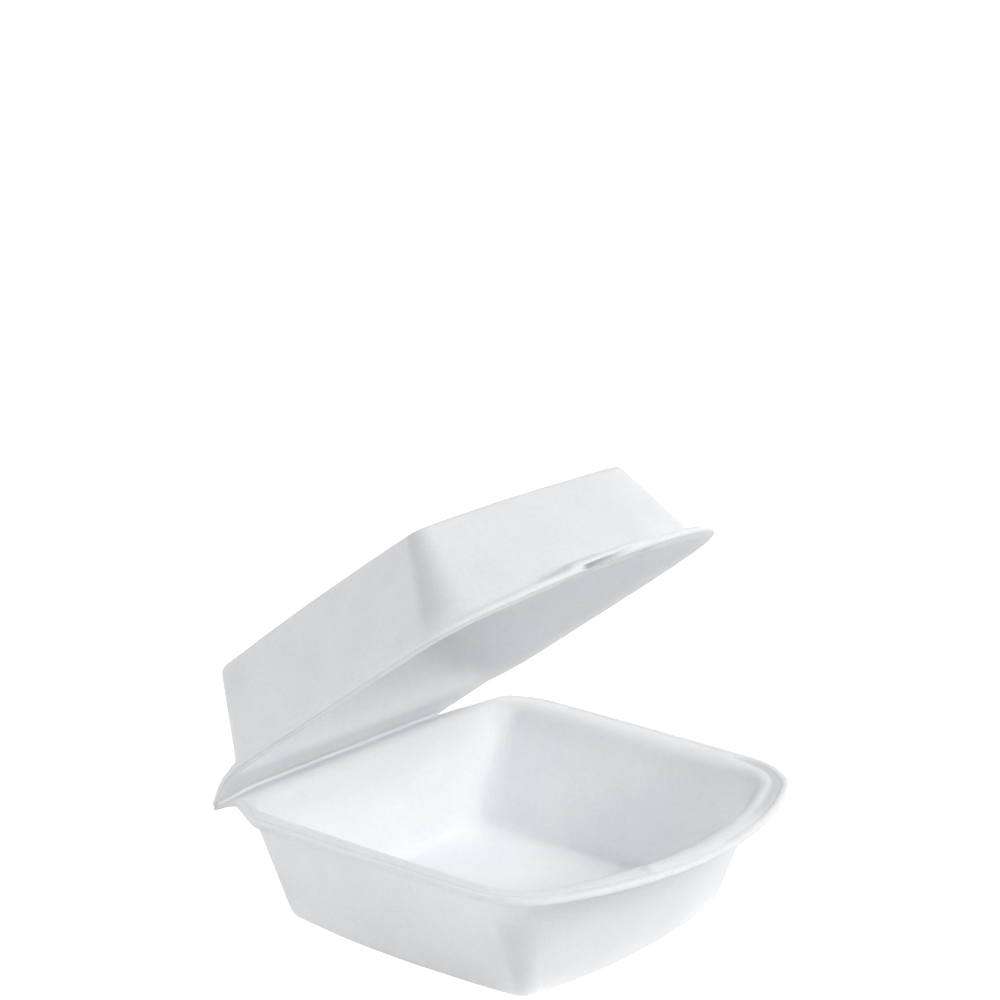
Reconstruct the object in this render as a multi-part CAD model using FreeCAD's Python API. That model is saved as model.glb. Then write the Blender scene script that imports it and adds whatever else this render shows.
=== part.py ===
"""Hinged foam clamshell food container, modelled with its lid standing open.

All lengths are in millimetres.  The origin is the middle of the base's underside, +Z is up,
the hinge runs along X at the rear (+Y) and the snap closure is at the front (-Y).
"""
import FreeCAD, Part
import math
import os

V = FreeCAD.Vector

# Foam sheet and flange, shared by the base and the lid.
SHEET = 2.2
FLANGE_WIDTH = 8.0
FLANGE_HALF_WIDTH = 75.0
FLANGE_FRONT = -79.7
FLANGE_SIDE_BOW = 1.8
FLANGE_FRONT_BOW = 23.6
FLANGE_FRONT_RADIUS = 28.4
FLANGE_REAR_RADIUS = 26.6
FLANGE_WIDEST_Y = 16.0
REAR_FLANGE_WIDTH = 4.6
RIM_REAR_BOW = 0.7
RIM_REAR_RADIUS = 10.0

# Base tray.  Its sides lean in by FLOOR_INSET from the edge of the flange to the floor.
BASE_HEIGHT = 41.4
FLOOR_INSET = 21.2
FLOOR = dict(half_width=FLANGE_HALF_WIDTH - FLOOR_INSET, front=-51.8, rear=51.8, side_bow=4.2,
             front_bow=6.0, rear_bow=0.7, front_radius=7.0, rear_radius=7.0, widest_y=0.0)

# Lid, measured with the container closed.
LID_HEIGHT = 34.1
LID_TOP_INSET = 20.6
LID_TOP = dict(half_width=FLANGE_HALF_WIDTH - LID_TOP_INSET, front=-51.9, rear=55.6,
               side_bow=3.5, front_bow=3.3, rear_bow=1.0, front_radius=6.4, rear_radius=4.8,
               widest_y=0.0)
LID_OPEN_ANGLE = 37.2

# Hinge: both rear flanges dip to one straight crease.
HINGE_Y = 67.2
HINGE_DROP = 3.3
HINGE_CORNER_INSET = 26.0
HINGE_HALF_LENGTH = FLANGE_HALF_WIDTH - HINGE_CORNER_INSET
HINGE_STRIP_WIDTH = 5.6
CREASE_SHEET = 1.3
HINGE_Z = BASE_HEIGHT - HINGE_DROP

# Edge rounding.
FOOT_ROUND = 3.2
INNER_FLOOR_ROUND = 2.2
FLARE_INNER_ROUND = 6.0
FLARE_OUTER_ROUND = 4.0
EDGE_TOLERANCE = 1e-4
CUT_MARGIN = 1.0

# Snap closure: a raised tongue on the base, a hood on the lid that drops over it.
TONGUE_X = -10.0
TONGUE_LENGTH = 34.0
TONGUE_DEPTH = 4.0
TONGUE_HEIGHT = 2.6
TONGUE_SETBACK = 2.4
TONGUE_ROUND = 1.2
TOP_ROUND_SHARE = 0.9
SNAP_CLEARANCE = 0.5
HOOD_WALL = 1.4
CATCH_X = -22.0
CATCH_LENGTH = 15.0
CATCH_HEIGHT = 6.2
CATCH_REACH = 2.0
CATCH_ROUND = 2.4


def circle_meet(c1, r1, c2, r2, near):
    """Crossing point of two circles that lies closest to the point near."""
    dx, dy = c2[0] - c1[0], c2[1] - c1[1]
    gap = math.hypot(dx, dy)
    along = (r1 ** 2 - r2 ** 2 + gap ** 2) / (2 * gap)
    off = math.sqrt(r1 ** 2 - along ** 2)
    mx, my = c1[0] + dx * along / gap, c1[1] + dy * along / gap
    found = [(mx + s * off * dy / gap, my - s * off * dx / gap) for s in (-1, 1)]
    return min(found, key=lambda p: math.hypot(p[0] - near[0], p[1] - near[1]))


def bow_radius(half_chord, bow):
    """Radius of an arc that rises by bow over the half chord."""
    return (half_chord ** 2 + bow ** 2) / (2 * bow)


def arc_edge(centre, radius, start, end, z):
    """Arc about centre from angle start to angle end, in radians."""
    pts = [V(centre[0] + radius * math.cos(a), centre[1] + radius * math.sin(a), z)
           for a in (start, (start + end) / 2, end)]
    return Part.Arc(*pts).toShape()


def angle_from(centre, other):
    """Direction of the line from centre through other."""
    return math.atan2(other[1] - centre[1], other[0] - centre[0])


def mirrored(edge):
    """The edge mirrored in the plane x = 0."""
    return edge.mirror(V(0, 0, 0), V(1, 0, 0))


def tray_outline(z, half_width, front, rear, side_bow, front_bow, rear_bow, front_radius,
                 rear_radius, widest_y, inset=0.0):
    """Closed outline of four bowed sides joined by tangent corner arcs."""
    side_r = bow_radius(widest_y - front, side_bow)
    front_r = bow_radius(half_width, front_bow)
    rear_r = bow_radius(half_width, rear_bow)
    side_c = (half_width - side_r, widest_y)
    front_c = (0.0, front + front_r)
    rear_c = (0.0, rear - rear_r)
    fc = circle_meet(side_c, side_r - front_radius, front_c, front_r - front_radius,
                     (half_width, front))
    rc = circle_meet(side_c, side_r - rear_radius, rear_c, rear_r - rear_radius,
                     (half_width, rear))
    a_front = angle_from(front_c, fc)
    a_side_low = angle_from(side_c, fc)
    a_side_high = angle_from(side_c, rc)
    a_rear = angle_from(rear_c, rc)
    right = [arc_edge(fc, front_radius - inset, a_front, a_side_low, z),
             arc_edge(side_c, side_r - inset, a_side_low, a_side_high, z),
             arc_edge(rc, rear_radius - inset, a_side_high, a_rear, z)]
    front_arc = arc_edge(front_c, front_r - inset, -math.pi - a_front, a_front, z)
    rear_arc = arc_edge(rear_c, rear_r - inset, a_rear, math.pi - a_rear, z)
    return Part.Wire(Part.__sortEdges__([front_arc] + right + [rear_arc]
                                        + [mirrored(e) for e in right]))


def flange_outline(z):
    """Outline of a flange: bowed front, near-straight sides, rear cut along the crease."""
    side_r = bow_radius(FLANGE_WIDEST_Y - FLANGE_FRONT, FLANGE_SIDE_BOW)
    front_r = bow_radius(FLANGE_HALF_WIDTH, FLANGE_FRONT_BOW)
    side_c = (FLANGE_HALF_WIDTH - side_r, FLANGE_WIDEST_Y)
    front_c = (0.0, FLANGE_FRONT + front_r)
    tip = (HINGE_HALF_LENGTH, HINGE_Y)
    fc = circle_meet(side_c, side_r - FLANGE_FRONT_RADIUS, front_c,
                     front_r - FLANGE_FRONT_RADIUS, (FLANGE_HALF_WIDTH, FLANGE_FRONT))
    rc = circle_meet(side_c, side_r - FLANGE_REAR_RADIUS, tip, FLANGE_REAR_RADIUS,
                     (0.0, 0.0))
    a_front = angle_from(front_c, fc)
    a_low = angle_from(side_c, fc)
    a_high = angle_from(side_c, rc)
    right = [arc_edge(fc, FLANGE_FRONT_RADIUS, a_front, a_low, z),
             arc_edge(side_c, side_r, a_low, a_high, z),
             arc_edge(rc, FLANGE_REAR_RADIUS, a_high, angle_from(rc, tip), z)]
    front_arc = arc_edge(front_c, front_r, -math.pi - a_front, a_front, z)
    crease = Part.makeLine(V(tip[0], tip[1], z), V(-tip[0], tip[1], z))
    return Part.Wire(Part.__sortEdges__([front_arc] + right + [crease]
                                        + [mirrored(e) for e in right]))


def rim_sizes():
    """Sizes of the outline where the outer wall meets the flange."""
    front_r = bow_radius(FLANGE_HALF_WIDTH, FLANGE_FRONT_BOW) - FLANGE_WIDTH
    half = FLANGE_HALF_WIDTH - FLANGE_WIDTH
    return dict(half_width=half, front=FLANGE_FRONT + FLANGE_WIDTH,
                rear=HINGE_Y - HINGE_STRIP_WIDTH - REAR_FLANGE_WIDTH, side_bow=FLANGE_SIDE_BOW,
                front_bow=front_r - math.sqrt(front_r ** 2 - half ** 2),
                rear_bow=RIM_REAR_BOW, front_radius=FLANGE_FRONT_RADIUS - FLANGE_WIDTH,
                rear_radius=RIM_REAR_RADIUS, widest_y=FLANGE_WIDEST_Y)


def plate_section(x, face, side):
    """YZ section of a flange: flat to the turn, then dipping to the crease.

    face is the height of the mating face; side is -1 for a sheet below it, 1 for one above.
    """
    far = FLANGE_FRONT - CUT_MARGIN
    turn = HINGE_Y - HINGE_STRIP_WIDTH
    low = face - HINGE_DROP
    pts = [V(x, far, face), V(x, turn, face), V(x, HINGE_Y, low),
           V(x, HINGE_Y, low + side * CREASE_SHEET), V(x, turn, face + side * SHEET),
           V(x, far, face + side * SHEET)]
    return Part.Wire(Part.makePolygon(pts + pts[:1]))


def flange_plate(face, side):
    """Flange sheet with its hinge strip, trimmed to the flange outline."""
    half = FLANGE_HALF_WIDTH + CUT_MARGIN
    sheet = Part.Face(plate_section(-half, face, side)).extrude(V(2 * half, 0, 0))
    reach = HINGE_DROP + 2 * SHEET
    blank = Part.Face(flange_outline(face - reach)).extrude(V(0, 0, 2 * reach))
    return sheet.common(blank)


def edges_where(shape, test):
    """Edges of a shape whose midpoint passes the test."""
    found = []
    for e in shape.Edges:
        if test(e.valueAt((e.FirstParameter + e.LastParameter) / 2)):
            found.append(e)
    return found


def at_height(z):
    """Test for edges lying at the height z."""
    return lambda p: abs(p.z - z) < EDGE_TOLERANCE


def inside_flange(z):
    """Test for edges at the height z that run where the wall meets the flange."""
    rim = flange_outline(z)

    def test(p):
        if abs(p.z - z) > EDGE_TOLERANCE or p.y > HINGE_Y - HINGE_STRIP_WIDTH - EDGE_TOLERANCE:
            return False
        return rim.distToShape(Part.Vertex(p))[0] > FLANGE_WIDTH / 2

    return test


def tray_shell(end, face, side, end_sizes):
    """Foam tray: a drafted bowl from its flat end to a flange at the height face."""
    rim = rim_sizes()
    outer = Part.makeLoft([tray_outline(end, **end_sizes), tray_outline(face, **rim)], True, True)
    body = outer.fuse(flange_plate(face, side)).removeSplitter()
    body = body.makeFillet(FOOT_ROUND, edges_where(body, at_height(end)))
    body = body.makeFillet(FLARE_OUTER_ROUND,
                           edges_where(body, inside_flange(face + side * SHEET)))
    floor = end - side * SHEET
    bowl = Part.makeLoft([tray_outline(end, inset=SHEET, **end_sizes),
                          tray_outline(face, inset=SHEET, **rim)], True, True)
    reach = FLANGE_HALF_WIDTH * 2
    slab = Part.makeBox(2 * reach, 2 * reach, abs(face - floor),
                        V(-reach, -reach, min(face, floor)))
    bowl = bowl.common(slab)
    bowl = bowl.makeFillet(INNER_FLOOR_ROUND, edges_where(bowl, at_height(floor)))
    body = body.cut(bowl)
    return body.makeFillet(FLARE_INNER_ROUND, edges_where(body, inside_flange(face)))


def front_sector(x_low, x_high, outer_gap, inner_gap, z_low, z_high):
    """Block that follows the bowed front between two distances from the flange's edge."""
    radius = bow_radius(FLANGE_HALF_WIDTH, FLANGE_FRONT_BOW)
    cy = FLANGE_FRONT + radius

    def point(x, gap):
        r = radius - gap
        return V(x, cy - math.sqrt(r * r - x * x), z_low)

    mid = (x_low + x_high) / 2
    edges = [Part.Arc(point(x_low, outer_gap), point(mid, outer_gap),
                      point(x_high, outer_gap)).toShape(),
             Part.makeLine(point(x_high, outer_gap), point(x_high, inner_gap)),
             Part.Arc(point(x_high, inner_gap), point(mid, inner_gap),
                      point(x_low, inner_gap)).toShape(),
             Part.makeLine(point(x_low, inner_gap), point(x_low, outer_gap))]
    return Part.Face(Part.Wire(edges)).extrude(V(0, 0, z_high - z_low))


def rounded_block(block, radius, z_top):
    """The block with its upright edges and its top rounded."""
    upright = [e for e in block.Edges
               if abs(e.BoundBox.ZLength - block.BoundBox.ZLength) < EDGE_TOLERANCE]
    block = block.makeFillet(radius, upright)
    return block.makeFillet(radius * TOP_ROUND_SHARE, edges_where(block, at_height(z_top)))


def base_tray():
    """Lower half with the snap tongue standing on its front flange."""
    tray = tray_shell(0.0, BASE_HEIGHT, -1, FLOOR)
    top = BASE_HEIGHT + TONGUE_HEIGHT
    tongue = front_sector(TONGUE_X - TONGUE_LENGTH / 2, TONGUE_X + TONGUE_LENGTH / 2,
                          TONGUE_SETBACK, TONGUE_SETBACK + TONGUE_DEPTH,
                          BASE_HEIGHT - SHEET / 2, top)
    return tray.fuse(rounded_block(tongue, TONGUE_ROUND, top)).removeSplitter()


def closed_lid():
    """Upper half in its closed place, with the hood that takes the tongue."""
    lid = tray_shell(BASE_HEIGHT + LID_HEIGHT, BASE_HEIGHT, 1, LID_TOP)
    gap = SNAP_CLEARANCE
    left = TONGUE_X - TONGUE_LENGTH / 2 - gap
    right = TONGUE_X + TONGUE_LENGTH / 2 + gap
    back = TONGUE_SETBACK + TONGUE_DEPTH + gap
    roof = BASE_HEIGHT + TONGUE_HEIGHT + gap
    hood = front_sector(left - HOOD_WALL, right + HOOD_WALL, 0.0, back + HOOD_WALL,
                        BASE_HEIGHT, roof + HOOD_WALL)
    catch_top = BASE_HEIGHT + CATCH_HEIGHT
    catch = front_sector(CATCH_X - CATCH_LENGTH / 2, CATCH_X + CATCH_LENGTH / 2,
                         HOOD_WALL, back + CATCH_REACH, BASE_HEIGHT + SHEET / 2, catch_top)
    lid = lid.fuse(rounded_block(hood, HOOD_WALL, roof + HOOD_WALL))
    lid = lid.fuse(rounded_block(catch, CATCH_ROUND, catch_top)).removeSplitter()
    pocket = front_sector(left, right, -CUT_MARGIN, back, BASE_HEIGHT - CUT_MARGIN, roof)
    return lid.cut(pocket)


def opened(shape, angle):
    """The shape swung about the crease so that its front rises by the angle."""
    turned = shape.copy()
    turned.rotate(V(0, HINGE_Y, HINGE_Z), V(-1, 0, 0), angle)
    return turned


os.makedirs("parts", exist_ok=True)
NODES = {"base": base_tray(), "lid": opened(closed_lid(), LID_OPEN_ANGLE)}
for name, shape in NODES.items():
    shape.exportStep("parts/" + name + ".step")
    print(name, shape.isValid(), len(shape.Solids), round(shape.Volume, 1))
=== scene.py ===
"""Looks of the foam clamshell food container: its two foam shells, the folded hinge between
them, the camera and the light.  Sizes are in millimetres until a piece becomes a mesh, whose
points are in metres."""
import bpy
import math
import numpy as np
from mathutils import Matrix, Vector


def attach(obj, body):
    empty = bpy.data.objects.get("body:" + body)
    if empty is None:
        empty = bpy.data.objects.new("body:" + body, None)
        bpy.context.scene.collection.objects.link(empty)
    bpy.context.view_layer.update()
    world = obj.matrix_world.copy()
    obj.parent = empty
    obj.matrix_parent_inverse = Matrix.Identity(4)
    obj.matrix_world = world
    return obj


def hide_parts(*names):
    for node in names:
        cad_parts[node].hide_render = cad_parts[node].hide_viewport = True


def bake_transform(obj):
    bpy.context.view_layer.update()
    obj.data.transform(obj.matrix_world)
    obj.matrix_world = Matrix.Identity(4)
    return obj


MM = 0.001

# Sizes shared with the solids: the sheet, the flange, the tray, the lid, the crease.
SHEET = 2.2
FLANGE_WIDTH = 8.0
FLANGE_HALF_WIDTH = 75.0
FLANGE_FRONT = -79.7
FLANGE_SIDE_BOW = 1.8
FLANGE_FRONT_BOW = 23.6
FLANGE_FRONT_RADIUS = 28.4
FLANGE_REAR_RADIUS = 26.6
FLANGE_WIDEST_Y = 16.0
REAR_FLANGE_WIDTH = 4.6
RIM_REAR_BOW = 0.7
RIM_REAR_RADIUS = 10.0
BASE_HEIGHT = 41.4
FLOOR = dict(half_width=53.8, front=-51.8, rear=51.8, side_bow=4.2, front_bow=6.0, rear_bow=0.7,
             front_radius=7.0, rear_radius=7.0, widest_y=0.0)
LID_HEIGHT = 34.1
LID_TOP = dict(half_width=54.4, front=-51.9, rear=55.6, side_bow=3.5, front_bow=3.3, rear_bow=1.0,
               front_radius=6.4, rear_radius=4.8, widest_y=0.0)
LID_OPEN_ANGLE = 37.2
HINGE_Y = 67.2
HINGE_DROP = 3.3
HINGE_Z = BASE_HEIGHT - HINGE_DROP
HINGE_HALF_LENGTH = 49.0
HINGE_STRIP_WIDTH = 5.6
CREASE_SHEET = 1.3

# The closure, also as in the solids: tongue on the tray, hood and catch pad on the lid.
TONGUE_X = -10.0
TONGUE_LENGTH = 34.0
TONGUE_DEPTH = 4.0
TONGUE_HEIGHT = 2.6
TONGUE_SETBACK = 2.4
SNAP_CLEARANCE = 0.5
HOOD_WALL = 1.4
CATCH_X = -22.0
CATCH_LENGTH = 15.0
CATCH_REACH = 2.0

# Rounding of the section: where floor meets wall inside and outside, where the walls flare into
# the flange, and the flange's lip.  A flare takes only what the flange's overhang has room for.
TRAY_FLOOR_ROUND = 5.0
LID_TOP_ROUND = 2.2
FOOT_ROUND = 3.2
LIP_ROUND = 0.95
FLARE_INSIDE = (0.5, 6.0)
FLARE_INSIDE_SPARE = 0.6
FLARE_OUTSIDE = (0.4, 4.0)
FLARE_OUTSIDE_SPARE = -1.4
FLARE_SHARE = 0.8

# Points round the outline on each stretch, anticlockwise: front, front corner, side, rear
# corner, rear, rear corner, side, front corner.
ROUND_POINTS = (150, 30, 80, 22, 60, 22, 80, 30)

# Rows of points over the section, from the middle of the inner floor over the flange to the
# middle of the underside: on its straight legs and round its turns.
LEG_ROWS = (22, 18, 20, 3, 18, 18, 20)
TURN_ROWS = (7, 9, 9, 9, 8, 7)
OUTER_WALL_ROW = sum(LEG_ROWS[:5]) + sum(rows - 1 for rows in TURN_ROWS[:4])

# How far ahead of the crease the flange starts to dip, and how the dip steepens.
DIP_REACH = HINGE_STRIP_WIDTH + 4.0
DIP_POWER = 1.35

# Pinched ears where the crease runs on past the rounded corners of the flanges: their reach
# along the crease, how fast they swell, the slope of their outer ends and how far they sag.
EAR_RIGHT = -4.5
EAR_LEFT = 16.5
EAR_RIGHT_SWELL = 4
EAR_LEFT_SWELL = 1.2
EAR_SLOPE_RIGHT = 0.41
EAR_SLOPE_LEFT = 0.55
EAR_SLOPE_START = 41.0
EAR_SAG = 1.5
EAR_SAG_START = HINGE_HALF_LENGTH - 2
EAR_SAG_FULL = HINGE_HALF_LENGTH + 14

# The web in the crease: radius of its soft inner side, its open ends, its points each way.
CREASE_WEB = 0.8
WEB_SHARE = 0.985
WEB_END = 0.5
WEB_TAPER = 1.6
WEB_LEAST = 0.05
WEB_OVERLAP = 0.12
WEB_STATIONS = 150
WEB_OUTER_POINTS = 24
WEB_INNER_POINTS = 12

# Marks in the tray's flange fade out this far under its face, and marks of the closure stay
# ahead of this place.
FACE_SKIN = (BASE_HEIGHT - 0.6, BASE_HEIGHT - 0.05)
CLOSURE_REAR_Y = -30.0

# Fine line pressed round the tray's flange, with painted shade in it: from the edge, its width,
# slopes, depth and the stretch before the crease where it runs out.
LINE_INSET = 2.5
LINE_WIDTH = 0.4
LINE_SLOPE = 0.6
LINE_DEPTH = 0.25
LINE_END = (HINGE_Y - 12, HINGE_Y - 8)

# Hollow pressed into the tray's flange at its front right corner, with painted shade in it.
HOLLOW_X = (18.0, 46.0)
HOLLOW_Y = (-48.0, -30.0)
HOLLOW_INSET = (3.2, 5.0)
HOLLOW_SLOPE = 2.0
HOLLOW_DEPTH = 0.45

# The tongue's crown as it shows on the flange, and its slopes.
TONGUE_RISE = 1.0
TONGUE_END_SLOPE = 2.4
TONGUE_SIDE_SLOPE = 1.2

# The hood's rise over the flange's face, its slopes, and the top of the catch pad.
HOOD_RISE = 1.2
HOOD_END_SLOPE = 2.5
HOOD_BACK = (-0.4, 1.6)
HOOD_TOP = (0.3, 3.0)
POCKET_SLOPE = 0.6
PAD_HEIGHT = 4.4
PAD_END_SLOPE = 2.4
PAD_SIDE_SLOPE = 2.2
PAD_INSET = 2.0
PAD_FRONT = 1.8
PAD_BACK = 0.5
PAD_ZONE = 8.0

# The slot in the hood's front edge, with painted shade inside it: deepest at its left, running out
# to the right; its place in the thickness of the sheet, and how far it reaches in.
SLOT_LEFT = (-27.0, -22.5)
SLOT_RIGHT = (-21.5, 0.0)
SLOT_FADE = 0.8
SLOT_IN_SHEET = (0.10, 0.46)
SLOT_SLOPE = 0.12
SLOT_EDGE = 1.2
SLOT_DEPTH = 0.9

# The lid's front right corner, tucked in a little.
TUCK = 3.0
TUCK_X = (40.0, 74.0)
TUCK_Y = (15.0, 55.0)
TUCK_INSET = (1.0, 9.0)
TUCK_ZONE = 4.0

# Painted shade over the front corners of the outer walls: the rise and the fall over the points of
# a corner, the heights between which it fades under the tray's flange and over the lid's.
CORNER_RISE = (0.0, 0.3)
CORNER_FALL = (0.35, 1.0)
TRAY_CORNER_TOP = (BASE_HEIGHT - 18, BASE_HEIGHT - 6)
LID_CORNER_FOOT = (BASE_HEIGHT + SHEET, BASE_HEIGHT + SHEET + 8)

# Painted shade along the underside of the lid's flange edge: the part of the sheet's thickness and
# the distance from the edge over which it fades.
LIP_IN_SHEET = (0.05, 0.35)
LIP_INSET = (0.4, 1.6)

# Gap between the flanges when the lid is shut, and how far from these faces the foam's
# unevenness is back in full.
RESTING_GAP = 0.05
RESTING_ZONE = (0.3, 1.6)
RESTING_CALM = 0.9
UNEVENNESS = 0.05

# How much painted shade darkens the foam at each mark, 0 to 1, and the dark tone the shade is
# painted in.
LINE_SHADE = 0.09
HOLLOW_SHADE = 0.38
SLOT_SHADE = 0.85
LIP_SHADE = 0.24
PAD_SHADE = 0.07
TRAY_CORNER_SHADE = 0.12
LID_CORNER_SHADE = 0.20
PAINTED_SHADE_TONE = (0.20, 0.21, 0.23, 1)

# How far light wanders inside the foam, and inside the thin squeezed crease, in metres.
FOAM_DEPTH = 0.0055
CREASE_DEPTH = 0.0002

# Strengths of the lights: the white tent behind the container and where the camera stands, the
# soft boxes, and the glow of the paper floor.
TENT_BACK = 1.12
TENT_FRONT = 0.0
TENT_EDGE = 0.45
LEFT_WATTS = 3.77
FRONT_WATTS = 23.5
RIGHT_WATTS = 0.8
REAR_WATTS = 2.5
LOW_WATTS = 4.66
PAPER_GLOW = 0.04
UNDER_GLOW = 0.43

# Where the paper's glow changes, in metres: its rise far from the container, its fade towards
# the camera, the edge of the bright square under the tray's foot; and how over-lit it shows.
GLOW_FAR = (0.25, 1.2)
GLOW_FAR_RISE = 1.6
GLOW_FRONT_FADE = (0.10, 0.20)
GLOW_FOOT_EDGE = (0.047, 0.056)
PAPER_WHITE = 0.8
PAPER_REACH = 14.0
PAPER_SUNK = -0.0002

# The camera at the photograph's view: direction, distance and what it looks at in metres, and
# its focal length in pixels of a picture 1000 wide.
AZIMUTH = math.radians(-51.461)
ELEVATION = math.radians(15.455)
ROLL = math.radians(1.0)
DISTANCE = 0.924
FOCAL_PIXELS = 2967.24
PICTURE_WIDTH = 1000.0
LOOK_AT = Vector((0.0, 0.01634, 0.13288))
LOOK_RIGHT = 0.00751

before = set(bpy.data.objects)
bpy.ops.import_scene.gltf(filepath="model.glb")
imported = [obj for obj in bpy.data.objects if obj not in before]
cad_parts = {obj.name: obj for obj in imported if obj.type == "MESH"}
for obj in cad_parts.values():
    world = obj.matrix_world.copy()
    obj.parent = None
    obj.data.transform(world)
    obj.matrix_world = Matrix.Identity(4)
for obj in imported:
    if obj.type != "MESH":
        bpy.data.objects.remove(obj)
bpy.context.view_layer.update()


def bow_radius(half_chord, bow):
    """Radius of an arc that rises by bow over the half chord: (c^2 + b^2) / 2b."""
    return (half_chord ** 2 + bow ** 2) / (2 * bow)


def circle_meet(c1, r1, c2, r2, near):
    """Crossing point of two circles that lies closest to the point near."""
    dx, dy = c2[0] - c1[0], c2[1] - c1[1]
    gap = math.hypot(dx, dy)
    along = (r1 ** 2 - r2 ** 2 + gap ** 2) / (2 * gap)
    off = math.sqrt(r1 ** 2 - along ** 2)
    mx, my = c1[0] + dx * along / gap, c1[1] + dy * along / gap
    found = [(mx + s * off * dy / gap, my - s * off * dx / gap) for s in (-1, 1)]
    return min(found, key=lambda p: math.hypot(p[0] - near[0], p[1] - near[1]))


def angle_from(centre, other):
    """Direction of the line from centre through other."""
    return math.atan2(other[1] - centre[1], other[0] - centre[0])


def arc_points(arcs):
    """Points and outward normals along arcs (centre, radius, start, end), taken anticlockwise:
    point = centre + radius (cos a, sin a), a running evenly from start towards end."""
    points, normals = [], []
    for (centre, radius, start, end), count in zip(arcs, ROUND_POINTS):
        a = start + (end - start) * np.arange(count) / count
        way = np.column_stack((np.cos(a), np.sin(a)))
        normals.append(way)
        points.append(np.asarray(centre) + radius * way)
    return np.vstack(points), np.vstack(normals)


def mirrored_arcs(front, front_corner, side, rear_corner, rear):
    """The eight arcs of a closed outline, the left half mirrored from the right; front and rear
    are given whole, the others on the right half, each as (centre, radius, start, end)."""
    pi = math.pi
    left = [((-c[0], c[1]), r, pi - end, pi - start)
            for c, r, start, end in (rear_corner, side, front_corner)]
    return [front, front_corner, side, rear_corner, rear] + left


def bowed_outline(half_width, front, rear, side_bow, front_bow, rear_bow, front_radius,
                  rear_radius, widest_y):
    """Points and normals of an outline of four bowed sides with tangent corner arcs."""
    side_r = bow_radius(widest_y - front, side_bow)
    front_r = bow_radius(half_width, front_bow)
    rear_r = bow_radius(half_width, rear_bow)
    side_c = (half_width - side_r, widest_y)
    front_c = (0.0, front + front_r)
    rear_c = (0.0, rear - rear_r)
    fc = circle_meet(side_c, side_r - front_radius, front_c, front_r - front_radius,
                     (half_width, front))
    rc = circle_meet(side_c, side_r - rear_radius, rear_c, rear_r - rear_radius,
                     (half_width, rear))
    a_front, a_low = angle_from(front_c, fc), angle_from(side_c, fc)
    a_high, a_rear = angle_from(side_c, rc), angle_from(rear_c, rc)
    return arc_points(mirrored_arcs(
        (front_c, front_r, -math.pi - a_front, a_front),
        (fc, front_radius, a_front, a_low),
        (side_c, side_r, a_low, a_high),
        (rc, rear_radius, a_high, a_rear),
        (rear_c, rear_r, a_rear, math.pi - a_rear)))


def flange_edge():
    """Points of the flange's outer edge, its rear cut straight along the crease and drawn out
    into an ear at each end."""
    side_r = bow_radius(FLANGE_WIDEST_Y - FLANGE_FRONT, FLANGE_SIDE_BOW)
    front_r = bow_radius(FLANGE_HALF_WIDTH, FLANGE_FRONT_BOW)
    side_c = (FLANGE_HALF_WIDTH - side_r, FLANGE_WIDEST_Y)
    front_c = (0.0, FLANGE_FRONT + front_r)
    tip = (HINGE_HALF_LENGTH, HINGE_Y)
    fc = circle_meet(side_c, side_r - FLANGE_FRONT_RADIUS, front_c,
                     front_r - FLANGE_FRONT_RADIUS, (FLANGE_HALF_WIDTH, FLANGE_FRONT))
    rc = circle_meet(side_c, side_r - FLANGE_REAR_RADIUS, tip, FLANGE_REAR_RADIUS, (0.0, 0.0))
    a_front, a_low, a_high = angle_from(front_c, fc), angle_from(side_c, fc), angle_from(side_c, rc)
    a_tip = angle_from(rc, tip)
    points, _ = arc_points(mirrored_arcs(
        (front_c, front_r, -math.pi - a_front, a_front),
        (fc, FLANGE_FRONT_RADIUS, a_front, a_low),
        (side_c, side_r, a_low, a_high),
        (rc, FLANGE_REAR_RADIUS, a_high, a_tip),
        (tip, 0.0, a_tip, a_tip)))
    draw_out_ears(points, tip[0] + EAR_RIGHT, -tip[0] - EAR_LEFT)
    return points


def draw_out_ears(points, right_tip, left_tip):
    """Moves the rear stretch of the edge onto the line between the ears' tips and swells both
    rear corners out to it: x grows by reach times share^swell, share running from 0 at the side
    to 1 at the tip, and sloping lines cut the ears' outer ends."""
    first = sum(ROUND_POINTS[:4])
    corner, count = ROUND_POINTS[3], ROUND_POINTS[4]
    points[first:first + count, 0] = right_tip + np.arange(count) / count * (left_tip - right_tip)
    share = np.arange(corner) / corner
    right = points[first - corner:first]
    right[:, 0] += EAR_RIGHT * share ** EAR_RIGHT_SWELL
    right[:, 1] = np.minimum(right[:, 1], HINGE_Y - EAR_SLOPE_RIGHT * (right[:, 0] - right_tip))
    left = points[first + count:first + count + corner]
    reach = np.maximum(FLANGE_HALF_WIDTH - EAR_SLOPE_LEFT * (left[:, 1] - EAR_SLOPE_START),
                       -left_tip)
    left[:, 0] = -np.minimum(-left[:, 0] + EAR_LEFT * (1 - share) ** EAR_LEFT_SWELL, reach)


def rim_sizes():
    """Sizes of the outline where the outer wall meets the flange."""
    front_r = bow_radius(FLANGE_HALF_WIDTH, FLANGE_FRONT_BOW) - FLANGE_WIDTH
    half = FLANGE_HALF_WIDTH - FLANGE_WIDTH
    return dict(half_width=half, front=FLANGE_FRONT + FLANGE_WIDTH,
                rear=HINGE_Y - HINGE_STRIP_WIDTH - REAR_FLANGE_WIDTH, side_bow=FLANGE_SIDE_BOW,
                front_bow=front_r - math.sqrt(front_r ** 2 - half ** 2), rear_bow=RIM_REAR_BOW,
                front_radius=FLANGE_FRONT_RADIUS - FLANGE_WIDTH, rear_radius=RIM_REAR_RADIUS,
                widest_y=FLANGE_WIDEST_Y)


def smooth(x, low, high):
    """Rises from 0 at low to 1 at high as 3t^2 - 2t^3."""
    t = np.clip((x - low) / (high - low), 0.0, 1.0)
    return t * t * (3 - 2 * t)


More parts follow.
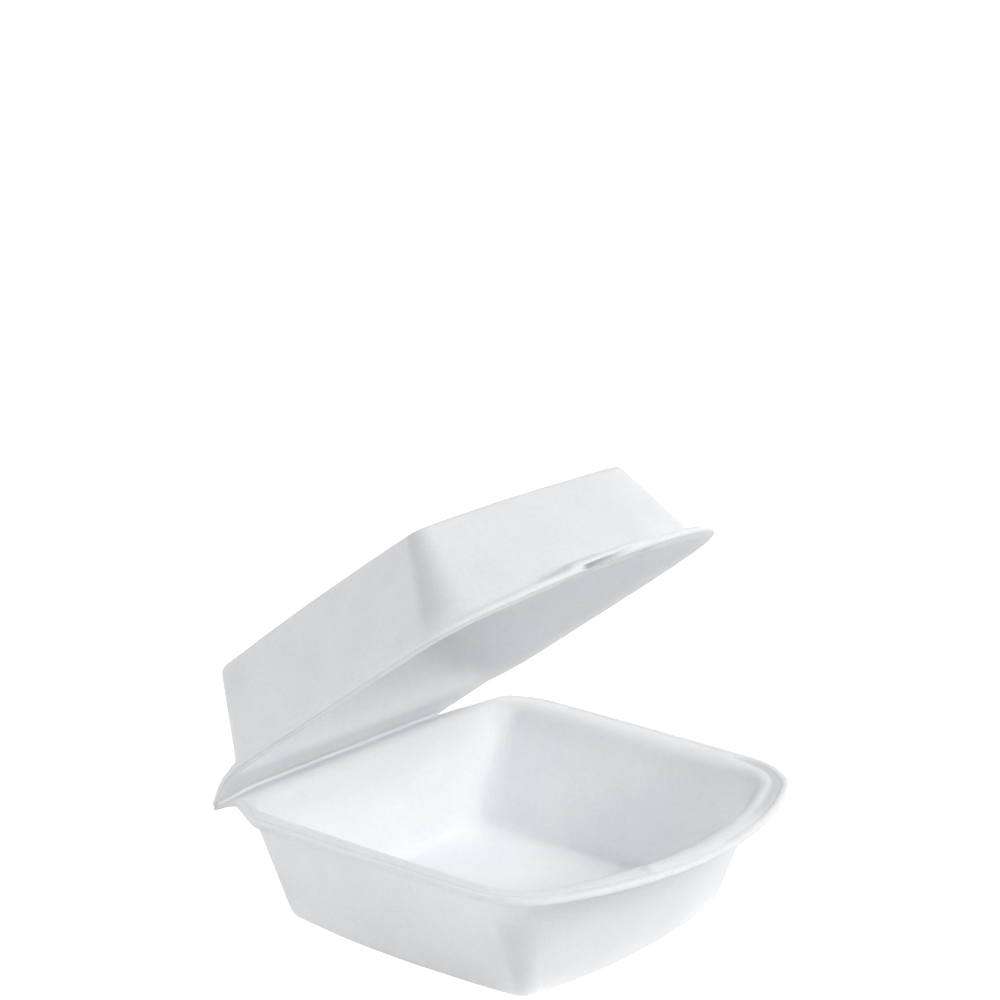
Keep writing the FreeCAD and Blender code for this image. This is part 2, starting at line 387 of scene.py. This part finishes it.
def plateau(x, low, high, slope):
    """1 between low and high, falling smoothly to 0 over slope on each outer side."""
    return smooth(x, low - slope, low) * (1 - smooth(x, high, high + slope))


def at(points, z):
    """Outline points lifted to the height z."""
    return np.column_stack((points, np.full(len(points), z)))


def ring_to_ring(start, end, count):
    """Rows of points on straight lines from start to end: start + t (end - start)."""
    t = np.linspace(0, 1, count)[:, None, None]
    return start[None] + t * (end - start)[None]


def rounded_turn(before, corner, after, radius, count):
    """Rows of a circular arc that rounds each corner, as the rational curve
    ((1-t)^2 A + 2w t(1-t) C + t^2 B) / ((1-t)^2 + 2w t(1-t) + t^2), w = cos(turn / 2)."""
    a = before - corner
    b = after - corner
    a /= np.linalg.norm(a, axis=1, keepdims=True)
    b /= np.linalg.norm(b, axis=1, keepdims=True)
    turn = math.pi - np.arccos(np.clip((a * b).sum(1), -1, 1))
    reach = (radius * np.tan(turn / 2))[:, None]
    first, last = corner + a * reach, corner + b * reach
    w = np.cos(turn / 2)[None, :, None]
    t = np.linspace(0, 1, count)[:, None, None]
    k0, k1, k2 = (1 - t) ** 2, 2 * w * t * (1 - t), t ** 2
    return (k0 * first + k1 * corner + k2 * last) / (k0 + k1 + k2)


def section_rows(rings, radii):
    """The closed section as rows of rings: straight legs joined by rounded turns.

    rings holds the section's corners in order, each an array of points round the outline;
    the first and last are the poles, which stay sharp.
    """
    rows, start = [], rings[0]
    for k, radius in enumerate(radii):
        arc = rounded_turn(rings[k], rings[k + 1], rings[k + 2], radius, TURN_ROWS[k])
        rows.append(ring_to_ring(start, arc[0], LEG_ROWS[k] + 1)[:-1])
        rows.append(arc[:-1])
        start = arc[-1]
    rows.append(ring_to_ring(start, rings[-1], LEG_ROWS[-1] + 1))
    return np.concatenate(rows)


def flare_radius(overhang, spare, limits):
    """Radius of the turn from wall to flange: (overhang + spare) / share, within the limits."""
    return np.clip((overhang + spare) / FLARE_SHARE, *limits)


def shell_grid(end, face, side, end_sizes, floor_round):
    """Grid of one foam shell from the middle of its inner floor, up the inner wall, over the
    flange, round its edge and down the outer wall to the middle of its underside; also each
    point's distance from the flange's edge.

    end is the height of the outer floor, face that of the flange's meeting face, and side is -1
    for a shell that hangs under its flange, 1 for one that stands over it.
    """
    p_end, n_end = bowed_outline(**end_sizes)
    p_rim, n_rim = bowed_outline(**rim_sizes())
    edge = flange_edge()
    floor = end - side * SHEET
    back = face + side * SHEET
    low = SHEET / abs(face - end)
    in_end, in_rim = p_end - SHEET * n_end, p_rim - SHEET * n_rim
    middle = np.array([0.0, (end_sizes["front"] + end_sizes["rear"]) / 2])
    pole = np.tile(middle, (len(p_end), 1))
    rings = [at(pole, floor),
             at(in_end + low * (in_rim - in_end), floor),
             at(in_rim, face),
             at(edge, face),
             at(edge, back),
             at(p_end + (1 - low) * (p_rim - p_end), back),
             at(p_end, end),
             at(pole, end)]
    overhang = np.hypot(edge[:, 0] - p_rim[:, 0], edge[:, 1] - p_rim[:, 1])
    radii = (floor_round, flare_radius(overhang, FLARE_INSIDE_SPARE, FLARE_INSIDE), LIP_ROUND,
             LIP_ROUND, flare_radius(overhang, FLARE_OUTSIDE_SPARE, FLARE_OUTSIDE), FOOT_ROUND)
    grid = section_rows(rings, radii)
    return grid, np.hypot(grid[..., 0] - edge[:, 0], grid[..., 1] - edge[:, 1])


def dip(y):
    """0 ahead of the dip to 1 at the crease: the share of the reach, to the dip's power."""
    return np.clip((y - (HINGE_Y - DIP_REACH)) / DIP_REACH, 0, 1) ** DIP_POWER


def ear_sag(x):
    """How far the crease sags at x, full in the ears."""
    return EAR_SAG * smooth(np.abs(x), EAR_SAG_START, EAR_SAG_FULL)


def dip_to_crease(grid, side, lean):
    """Bends the rear of the flange down to the crease and thins it there:
    z - drop r(y) - side (sheet - crease sheet) r(y) q, q the depth within the sheet.
    The ears sag a little further; lean is the angle that the shell is opened by later."""
    x, y, z = grid[..., 0].copy(), grid[..., 1].copy(), grid[..., 2].copy()
    r = dip(y)
    q = np.clip(side * (z - BASE_HEIGHT) / SHEET, 0, 1)
    sag = ear_sag(x) * r
    grid[..., 2] = (z - HINGE_DROP * r - side * (SHEET - CREASE_SHEET) * r * q
                    - sag * math.cos(lean))
    grid[..., 1] = y + sag * math.sin(lean)


def edge_distance(grid):
    """Distance inwards from the bowed front edge of the flange."""
    radius = bow_radius(FLANGE_HALF_WIDTH, FLANGE_FRONT_BOW)
    return radius - np.hypot(grid[..., 0], grid[..., 1] - (FLANGE_FRONT + radius))


def painted_corner_shade(grid):
    """Painted shade on the two front corners of the outer wall, 0 to 1: a smooth rise and a
    longer fall over the points of each corner, steeper on the side wall's end."""
    rows, columns = grid.shape[:2]
    corner = ROUND_POINTS[1]
    share = (np.arange(corner) + 0.5) / corner
    bump = smooth(share, *CORNER_RISE) * (1 - smooth(share, *CORNER_FALL))
    shaded = np.zeros((rows, columns))
    shaded[OUTER_WALL_ROW:, columns - corner:] = bump
    shaded[OUTER_WALL_ROW:, ROUND_POINTS[0]:ROUND_POINTS[0] + corner] = bump[::-1]
    return shaded


def tongue_crown(flat):
    """Shape of the snap tongue on the tray's flange, 0 to 1: a plateau along x times a plateau
    of the distance from the front edge."""
    half = (TONGUE_LENGTH - TONGUE_END_SLOPE) / 2
    inset = TONGUE_SETBACK + TONGUE_SIDE_SLOPE / 2
    return (plateau(flat[..., 0], TONGUE_X - half, TONGUE_X + half, TONGUE_END_SLOPE)
            * plateau(edge_distance(flat), inset, inset + TONGUE_DEPTH - TONGUE_SIDE_SLOPE,
                      TONGUE_SIDE_SLOPE) * (flat[..., 1] < CLOSURE_REAR_Y))


def tray_grid():
    """The lower tray with the snap tongue raised on its front flange, a fine line sunk round
    the flange and a hollow in its front right corner; also how much painted shade each point gets."""
    grid, ring_gap = shell_grid(0.0, BASE_HEIGHT, -1, FLOOR, TRAY_FLOOR_ROUND)
    flat = grid.copy()
    dip_to_crease(grid, -1, 0.0)
    x, y, z = flat[..., 0], flat[..., 1], flat[..., 2]
    upper = smooth(z, *FACE_SKIN)
    # The line's mask sinks the groove and also paints shade into it.
    line = (plateau(ring_gap, LINE_INSET, LINE_INSET + LINE_WIDTH, LINE_SLOPE) * upper
            * (1 - smooth(y, *LINE_END)))
    # The hollow's mask sinks it and also paints shade into it.
    hollow = (smooth(x, *HOLLOW_X) * (1 - smooth(y, *HOLLOW_Y))
              * plateau(ring_gap, *HOLLOW_INSET, HOLLOW_SLOPE) * upper)
    grid[..., 2] += (TONGUE_RISE * tongue_crown(flat) * upper - LINE_DEPTH * line
                     - HOLLOW_DEPTH * hollow)
    # Painted shade on the outer wall's front corners, fading out below the flange.
    corners = painted_corner_shade(flat) * (1 - smooth(z, *TRAY_CORNER_TOP))
    # Painted shade: the strongest of the line's, the hollow's and the corners' shade at each point.
    painted_shade = np.maximum.reduce([LINE_SHADE * line, HOLLOW_SHADE * hollow,
                                 TRAY_CORNER_SHADE * corners])
    return grid, painted_shade


def raise_hood(grid, x, z, gap, depth, back):
    """Lifts the lid's flange into the hood and hollows it into the pocket for the tongue: the
    outer face rises by the hood's rise, the inner one by the height of the pocket's roof."""
    half = TONGUE_LENGTH / 2 + SNAP_CLEARANCE
    top = BASE_HEIGHT + SHEET
    zone = (plateau(x, TONGUE_X - half, TONGUE_X + half, HOOD_END_SLOPE)
            * (1 - smooth(z, top + HOOD_TOP[0], top + HOOD_TOP[1])))
    hood = zone * (1 - smooth(gap, back + HOOD_BACK[0], back + HOOD_BACK[1]))
    pocket = zone * plateau(gap, TONGUE_SETBACK - SNAP_CLEARANCE, back, POCKET_SLOPE)
    roof = TONGUE_HEIGHT + SNAP_CLEARANCE
    grid[..., 2] += hood * HOOD_RISE * depth + pocket * roof * (1 - depth)


def catch_pad(x, gap, back):
    """Shape of the small pad on the hood, 0 to 1, as a plateau each way."""
    half = CATCH_LENGTH / 2 - PAD_INSET
    return (plateau(x, CATCH_X - half, CATCH_X + half, PAD_END_SLOPE)
            * plateau(gap, HOOD_WALL + PAD_FRONT, back + CATCH_REACH - PAD_BACK, PAD_SIDE_SLOPE))


def closure_slot(x, gap, depth):
    """Shape of the slot in the hood's front edge, 0 to 1: it opens at its left, runs out slowly
    to the right and keeps to a band of the sheet's thickness."""
    return (smooth(x, *SLOT_LEFT) * (1 - smooth(x, *SLOT_RIGHT)) ** SLOT_FADE
            * plateau(depth, *SLOT_IN_SHEET, SLOT_SLOPE) * (gap < SLOT_EDGE))


def lid_grid():
    """The upper shell, shut, with the hood, pad and slot of the closure and its front right
    corner tucked in; also how much painted shade each point gets."""
    grid, ring_gap = shell_grid(BASE_HEIGHT + LID_HEIGHT, BASE_HEIGHT, 1, LID_TOP, LID_TOP_ROUND)
    flat = grid.copy()
    dip_to_crease(grid, 1, math.radians(LID_OPEN_ANGLE))
    x, y, z = flat[..., 0], flat[..., 1], flat[..., 2]
    gap = np.where(y < CLOSURE_REAR_Y, edge_distance(flat), np.inf)
    depth = np.clip((z - BASE_HEIGHT) / SHEET, 0, 1)
    back = TONGUE_SETBACK + TONGUE_DEPTH + SNAP_CLEARANCE
    raise_hood(grid, x, z, gap, depth, back)
    grid[..., 2] += RESTING_GAP * (1 - depth)
    # The pad's mask raises it and also paints shade on it.
    pad = catch_pad(x, gap, back) * (z < BASE_HEIGHT + PAD_ZONE)
    grid[..., 2] += pad * depth * np.clip(BASE_HEIGHT + PAD_HEIGHT - grid[..., 2], 0, None)
    # The slot's mask pushes it in and also paints shade into it.
    slot = closure_slot(x, gap, depth)
    tuck = TUCK * (smooth(x, *TUCK_X) * smooth(-y, *TUCK_Y) * (1 - smooth(ring_gap, *TUCK_INSET))
                   * (z < BASE_HEIGHT + TUCK_ZONE))
    grid[..., 0] -= tuck
    grid[..., 1] += SLOT_DEPTH * slot + tuck
    # Painted shade along the underside of the flange's edge.
    edge_shade = (1 - smooth(depth, *LIP_IN_SHEET)) * (1 - smooth(ring_gap, *LIP_INSET))
    # Painted shade on the outer wall's front corners, fading in above the flange.
    corners = painted_corner_shade(flat) * smooth(z, *LID_CORNER_FOOT)
    # Painted shade: the strongest of the slot's, the edge's, the pad's and the corners' shade at
    # each point.
    painted_shade = np.maximum.reduce([SLOT_SHADE * slot, LIP_SHADE * edge_shade, PAD_SHADE * pad,
                                 LID_CORNER_SHADE * corners])
    return grid, painted_shade


def ripple(grid, seed):
    """Gentle unevenness of formed foam: a sum of slow sine waves in x, y and z."""
    x, y, z = grid[..., 0], grid[..., 1], grid[..., 2]
    return UNEVENNESS * (
        np.sin(x * 0.071 + 1.3 * seed) * np.sin(y * 0.083 + 0.7 * seed + z * 0.05)
        + 0.6 * np.sin(x * 0.13 - y * 0.11 + z * 0.19 + seed)
        + 0.35 * np.sin(x * 0.29 + y * 0.23 - z * 0.17 + 2.1 * seed))


def surface_normals(grid):
    """Unit normals of a grid from its row and column differences."""
    along = np.roll(grid, -1, axis=1) - np.roll(grid, 1, axis=1)
    across = np.gradient(grid, axis=0)
    n = np.cross(along, across)
    size = np.linalg.norm(n, axis=2, keepdims=True)
    return n / np.where(size > 1e-9, size, 1.0)


def resting_faces(grid):
    """1 on the flange faces that meet when the lid is shut, falling to 0 away from them; the
    faces lie at the tray's height and dip towards the crease."""
    height = BASE_HEIGHT - HINGE_DROP * dip(grid[..., 1])
    return 1 - smooth(np.abs(grid[..., 2] - height), *RESTING_ZONE)


def finished(grid, seed):
    """The grid with its surface pushed in and out a little along its normals, less so where
    the flanges rest on each other."""
    push = ripple(grid, seed) * (1 - RESTING_CALM * resting_faces(grid))
    return grid + surface_normals(grid) * push[..., None]


def swing(grid, angle):
    """Turns points about the crease so that the front rises by the angle:
    y' = y cos a + z sin a and z' = z cos a - y sin a, both measured from the crease."""
    a = math.radians(angle)
    y, z = grid[..., 1] - HINGE_Y, grid[..., 2] - HINGE_Z
    return np.stack((grid[..., 0], HINGE_Y + y * math.cos(a) + z * math.sin(a),
                     HINGE_Z + z * math.cos(a) - y * math.sin(a)), axis=-1)


def hinge_web():
    """Web at the crease, a closed loop of two arcs carried along the crease line.

    Outside: crease + r (sin a, -cos a) in y and z, a from the base's end to the lid's end.
    Inside: a hollow arc of the web's radius, tangent to both leaves, centred on the line
    that halves the open crease.  Both sag with the ears, and taper at the crease's ends.
    """
    lean = math.radians(LID_OPEN_ANGLE)
    x = np.linspace(-HINGE_HALF_LENGTH - EAR_LEFT + WEB_END, HINGE_HALF_LENGTH + EAR_RIGHT - WEB_END,
                    WEB_STATIONS)
    near_end = np.minimum(x - x[0], x[-1] - x)
    taper = np.clip(near_end / WEB_TAPER, WEB_LEAST, 1)[:, None] ** 0.5
    a = np.linspace(-WEB_OVERLAP, math.pi - lean + WEB_OVERLAP, WEB_OUTER_POINTS)
    r = CREASE_SHEET * WEB_SHARE * taper
    middle = math.atan(HINGE_DROP * DIP_POWER / DIP_REACH) + lean / 2
    far = CREASE_WEB / math.sin(lean / 2)
    b = np.linspace(-1, 1, WEB_INNER_POINTS) * (math.pi - lean) / 2 + middle + math.pi
    y_in = -far * math.cos(middle) - CREASE_WEB * np.cos(b)
    z_in = far * math.sin(middle) + CREASE_WEB * np.sin(b)
    y = np.concatenate((np.sin(a)[None] * r, taper * y_in[None]), axis=1)
    z = np.concatenate((-np.cos(a)[None] * r, taper * z_in[None]), axis=1)
    loop = np.stack((np.broadcast_to(x[:, None], y.shape), HINGE_Y + y,
                     HINGE_Z - ear_sag(x)[:, None] + z), -1)
    ends = loop.mean(1, keepdims=True).repeat(loop.shape[1], 1)
    return np.concatenate((ends[:1], loop, ends[-1:]))


def closed_surface(name, grid, painted_shade=None, turned=False):
    """Mesh of a grid that closes round its columns, with one point at each pole row.  The third
    argument gives for each point of the grid how much painted shade darkens its colour there;
    turned reverses the faces, for a grid whose rows run the other way."""
    rows, columns = grid.shape[:2]
    body = grid[1:-1].reshape(-1, 3)
    verts = np.vstack((grid[0].mean(0)[None], body, grid[-1].mean(0)[None])) * MM
    inner = rows - 2
    i = np.arange(inner - 1)[:, None] * columns + 1
    j = np.arange(columns)[None, :]
    jn = (j + 1) % columns
    quads = np.stack((i + j, i + jn, i + columns + jn, i + columns + j), -1).reshape(-1, 4)
    j, jn = j.ravel(), jn.ravel()
    low_fan = np.stack((np.zeros_like(j), 1 + jn, 1 + j), -1)
    top = 1 + (inner - 1) * columns
    high_fan = np.stack((np.full_like(j, len(verts) - 1), top + j, top + jn), -1)
    way = -1 if turned else 1
    faces = (quads[:, ::way].tolist() + low_fan[:, ::way].tolist()
             + high_fan[:, ::way].tolist())
    mesh = bpy.data.meshes.new(name)
    mesh.from_pydata(verts.tolist(), [], faces)
    mesh.polygons.foreach_set("use_smooth", np.ones(len(faces), dtype=bool))
    # The point attribute that carries the painted shade.
    marks = mesh.attributes.new("painted_shade", "FLOAT", "POINT")
    values = np.zeros(len(verts))
    if painted_shade is not None:
        values[1:-1] = painted_shade[1:-1].ravel()
    marks.data.foreach_set("value", values)
    mesh.update()
    return placed(name, mesh)


def placed(name, data):
    """An object for a mesh, camera or light, linked to the scene."""
    thing = bpy.data.objects.new(name, data)
    bpy.context.scene.collection.objects.link(thing)
    return thing


def socket(node, name, value):
    """Sets one input of a shader node."""
    node.inputs[name].default_value = value


def mapped(tree, source, low, high, to_low, to_high):
    """Maps low to high of the source onto to_low to to_high."""
    step = tree.nodes.new("ShaderNodeMapRange")
    socket(step, "From Min", low)
    socket(step, "From Max", high)
    socket(step, "To Min", to_low)
    socket(step, "To Max", to_high)
    tree.links.new(source, step.inputs["Value"])
    return step.outputs["Result"]


def worked(tree, operation, *values):
    """One step of arithmetic on outputs of other nodes and on plain numbers."""
    step = tree.nodes.new("ShaderNodeMath")
    step.operation = operation
    for place, value in zip(step.inputs, values):
        if isinstance(value, (int, float)):
            place.default_value = value
        else:
            tree.links.new(value, place)
    return step.outputs["Value"]


def along_way(tree, source, way):
    """How far the source's vector reaches along a direction."""
    step = tree.nodes.new("ShaderNodeVectorMath")
    step.operation = "DOT_PRODUCT"
    step.inputs[1].default_value = way
    tree.links.new(source, step.inputs[0])
    return step.outputs["Value"]


def foam_noise(tree, place, scale, detail, rough):
    """Cloudy pattern of the given scale over the foam."""
    noise = tree.nodes.new("ShaderNodeTexNoise")
    socket(noise, "Scale", scale)
    socket(noise, "Detail", detail)
    socket(noise, "Roughness", rough)
    tree.links.new(place, noise.inputs["Vector"])
    return noise.outputs["Fac"]


def foam_bump(tree, height, strength, distance, normal=None):
    """Relief of the skin from a height pattern, over another relief if one is given."""
    bump = tree.nodes.new("ShaderNodeBump")
    socket(bump, "Strength", strength)
    socket(bump, "Distance", distance)
    tree.links.new(height, bump.inputs["Height"])
    if normal is not None:
        tree.links.new(normal, bump.inputs["Normal"])
    return bump.outputs["Normal"]


def darkened(tree, first, by, tone=None):
    """Multiplies a colour: by a second colour that another node gives, or by a fixed tone where
    the factor by is high."""
    mix = tree.nodes.new("ShaderNodeMixRGB")
    mix.blend_type = "MULTIPLY"
    tree.links.new(first, mix.inputs["Color1"])
    if tone is None:
        mix.inputs["Fac"].default_value = 1.0
        tree.links.new(by, mix.inputs["Color2"])
    else:
        mix.inputs["Color2"].default_value = tone
        tree.links.new(by, mix.inputs["Fac"])
    return mix.outputs["Color"]


def foam_material(name, depth):
    """Skin of formed foam: matte near-white with a fine bead pattern and slow mottling from the
    object's own coordinates, painted shade where the mesh's shade attribute is high, and a faint
    sheen."""
    material = bpy.data.materials.new(name)
    material.use_nodes = True
    tree = material.node_tree
    nodes, links = tree.nodes, tree.links
    nodes.clear()
    out = nodes.new("ShaderNodeOutputMaterial")
    skin = nodes.new("ShaderNodeBsdfPrincipled")
    links.new(skin.outputs["BSDF"], out.inputs["Surface"])
    shift = nodes.new("ShaderNodeMapping")
    socket(shift, "Location", (0.31, 0.1147, -0.1891))
    links.new(nodes.new("ShaderNodeTexCoord").outputs["Object"], shift.inputs["Vector"])
    place = shift.outputs["Vector"]

    beads = nodes.new("ShaderNodeTexVoronoi")
    socket(beads, "Scale", 900.0)
    links.new(place, beads.inputs["Vector"])
    mottle = foam_noise(tree, place, 38.0, 3.0, 0.55)
    grain = foam_noise(tree, place, 1500.0, 2.0, 0.6)

    tone = nodes.new("ShaderNodeMixRGB")
    socket(tone, "Color1", (0.875, 0.885, 0.905, 1))
    socket(tone, "Color2", (0.915, 0.925, 0.94, 1))
    links.new(mapped(tree, mottle, 0.35, 0.65, 0.0, 1.0), tone.inputs["Fac"])
    beaded = darkened(tree, tone.outputs["Color"],
                      mapped(tree, beads.outputs["Distance"], 0.0, 0.9, 1.0, 0.955))
    # Painted shade: the point attribute darkens the colour towards the painted shade tone.
    shade_attribute = nodes.new("ShaderNodeAttribute")
    shade_attribute.attribute_name = "painted_shade"
    links.new(darkened(tree, beaded, shade_attribute.outputs["Fac"], PAINTED_SHADE_TONE), skin.inputs["Base Color"])
    links.new(mapped(tree, mottle, 0.3, 0.7, 0.50, 0.62), skin.inputs["Roughness"])
    bead_relief = foam_bump(tree, beads.outputs["Distance"], 0.25, 0.00012)
    links.new(foam_bump(tree, grain, 0.12, 0.00006, bead_relief), skin.inputs["Normal"])

    socket(skin, "IOR", 1.4)
    socket(skin, "Specular IOR Level", 0.35)
    socket(skin, "Subsurface Weight", 1.0)
    socket(skin, "Subsurface Radius", (1.0, 1.0, 1.0))
    socket(skin, "Subsurface Scale", depth)
    socket(skin, "Sheen Weight", 0.05)
    return material


def finish_piece(piece, material):
    """Gives a piece its foam skin."""
    piece.data.materials.append(material)


def camera_axes():
    """Unit vectors to the camera's right, up and back, before its roll."""
    back = Vector((math.sin(AZIMUTH) * math.cos(ELEVATION),
                   -math.cos(AZIMUTH) * math.cos(ELEVATION), math.sin(ELEVATION)))
    right = Vector((math.cos(AZIMUTH), math.sin(AZIMUTH), 0.0))
    return right, back.cross(right), back


def place_camera():
    """The camera at the photograph's view."""
    right, up, back = camera_axes()
    target = LOOK_AT + right * LOOK_RIGHT
    rolled_right = right * math.cos(ROLL) + up * math.sin(ROLL)
    rolled_up = up * math.cos(ROLL) - right * math.sin(ROLL)
    data = bpy.data.cameras.new("camera")
    data.sensor_width = 36.0
    data.lens = FOCAL_PIXELS * data.sensor_width / PICTURE_WIDTH
    data.clip_start = 0.01
    data.clip_end = 100.0
    camera = placed("camera", data)
    turned = Matrix((rolled_right, rolled_up, back)).transposed()
    camera.matrix_world = Matrix.Translation(target + back * DISTANCE) @ turned.to_4x4()
    bpy.context.scene.camera = camera


def floor_glow(tree):
    """Strength of the paper floor's glow, in metres from the container's middle: weak all round
    and none in front, strong under the tray's foot so that its floor is lit through the foam,
    and over-lit where the camera looks straight at the paper, which shows pure white."""
    place = tree.nodes.new("ShaderNodeTexCoord").outputs["Object"]
    far = tree.nodes.new("ShaderNodeVectorMath")
    far.operation = "LENGTH"
    tree.links.new(place, far.inputs[0])
    around = mapped(tree, far.outputs["Value"], *GLOW_FAR, PAPER_GLOW, GLOW_FAR_RISE * PAPER_GLOW)
    towards_camera = along_way(tree, place, (math.sin(AZIMUTH), -math.cos(AZIMUTH), 0.0))
    fade = mapped(tree, towards_camera, *GLOW_FRONT_FADE, 1.0, 0.0)
    around = worked(tree, "MULTIPLY", around, fade)
    split = tree.nodes.new("ShaderNodeSeparateXYZ")
    tree.links.new(place, split.inputs["Vector"])
    square = worked(tree, "MAXIMUM", worked(tree, "ABSOLUTE", split.outputs["X"]),
                    worked(tree, "ABSOLUTE", split.outputs["Y"]))
    under = mapped(tree, square, *GLOW_FOOT_EDGE, UNDER_GLOW, 0.0)
    seen = tree.nodes.new("ShaderNodeLightPath").outputs["Is Camera Ray"]
    return worked(tree, "MULTIPLY_ADD", seen, PAPER_WHITE, worked(tree, "ADD", around, under))


def paper_floor():
    """A wide pale sheet that glows a little, as paper over a light table does."""
    far = PAPER_REACH
    mesh = bpy.data.meshes.new("floor")
    mesh.from_pydata([(-far, -far, 0), (far, -far, 0), (far, far, 0), (-far, far, 0)],
                     [], [(0, 1, 2, 3)])
    floor = placed("floor", mesh)
    floor.location = (0, 0, PAPER_SUNK)
    paper = bpy.data.materials.new("floor_paper")
    paper.use_nodes = True
    tree = paper.node_tree
    skin = tree.nodes["Principled BSDF"]
    socket(skin, "Base Color", (0.82, 0.82, 0.82, 1))
    socket(skin, "Roughness", 0.9)
    socket(skin, "Emission Color", (1, 1, 1, 1))
    tree.links.new(floor_glow(tree), skin.inputs["Emission Strength"])
    mesh.materials.append(paper)


def white_tent():
    """Light from all round: a white tent, darker where the camera stands, over-lit where the
    camera looks straight at it."""
    world = bpy.data.worlds.new("tent")
    bpy.context.scene.world = world
    world.use_nodes = True
    tree = world.node_tree
    tree.nodes.clear()
    out = tree.nodes.new("ShaderNodeOutputWorld")
    light = tree.nodes.new("ShaderNodeBackground")
    tree.links.new(light.outputs["Background"], out.inputs["Surface"])
    place = tree.nodes.new("ShaderNodeTexCoord").outputs["Generated"]
    towards_camera = along_way(tree, place, tuple(camera_axes()[2]))
    strength = mapped(tree, towards_camera, -1.0, TENT_EDGE, TENT_BACK, TENT_FRONT)
    seen = tree.nodes.new("ShaderNodeLightPath").outputs["Is Camera Ray"]
    tree.links.new(worked(tree, "ADD", strength, seen), light.inputs["Strength"])
    socket(light, "Color", (0.97, 0.985, 1.0, 1))


def soft_box(name, place, target, width, height, watts):
    """A rectangular studio light that shines from its place at the target."""
    data = bpy.data.lights.new(name, "AREA")
    data.shape = "RECTANGLE"
    data.size, data.size_y = width, height
    data.energy = watts
    light = placed(name, data)
    light.location = place
    light.visible_camera = False
    way = Vector(target) - light.location
    light.rotation_euler = way.to_track_quat("-Z", "Y").to_euler()


place_camera()
paper_floor()
white_tent()
soft_box("left_light", (-1.2, 0.8, 1.0), (0, 0, 0.06), 0.8, 0.8, LEFT_WATTS)
soft_box("front_right_light", (0.5, -1.4, 1.1), (0, 0, 0.02), 0.7, 0.7, FRONT_WATTS)
soft_box("right_light", (1.3, 0.1, 0.14), (0, 0, 0.04), 0.7, 0.22, RIGHT_WATTS)
soft_box("low_left_light", (-1.3, -0.2, 0.42), (0, 0, 0.03), 0.5, 0.5, LOW_WATTS)
soft_box("rear_light", (-0.1, 1.5, 0.6), (0, 0, 0.04), 0.8, 0.8, REAR_WATTS)

foam = foam_material("foam_skin", FOAM_DEPTH)
crease_foam = foam_material("foam_crease", CREASE_DEPTH)

# The tray.
grid, painted_shade = tray_grid()
tray = closed_surface("base_foam", finished(grid, 1.0), painted_shade, turned=True)
finish_piece(tray, foam)
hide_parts("base")
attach(tray, "base")

# The lid, made shut and then swung open to its place.
grid, painted_shade = lid_grid()
lid = closed_surface("lid_foam", swing(finished(grid, 2.0), LID_OPEN_ANGLE), painted_shade)
finish_piece(lid, foam)
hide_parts("lid")
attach(lid, "lid")

# The fold between them.
fold = closed_surface("hinge_fold", hinge_web())
finish_piece(fold, crease_foam)
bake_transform(fold)

bpy.context.scene.view_settings.view_transform = "Standard"
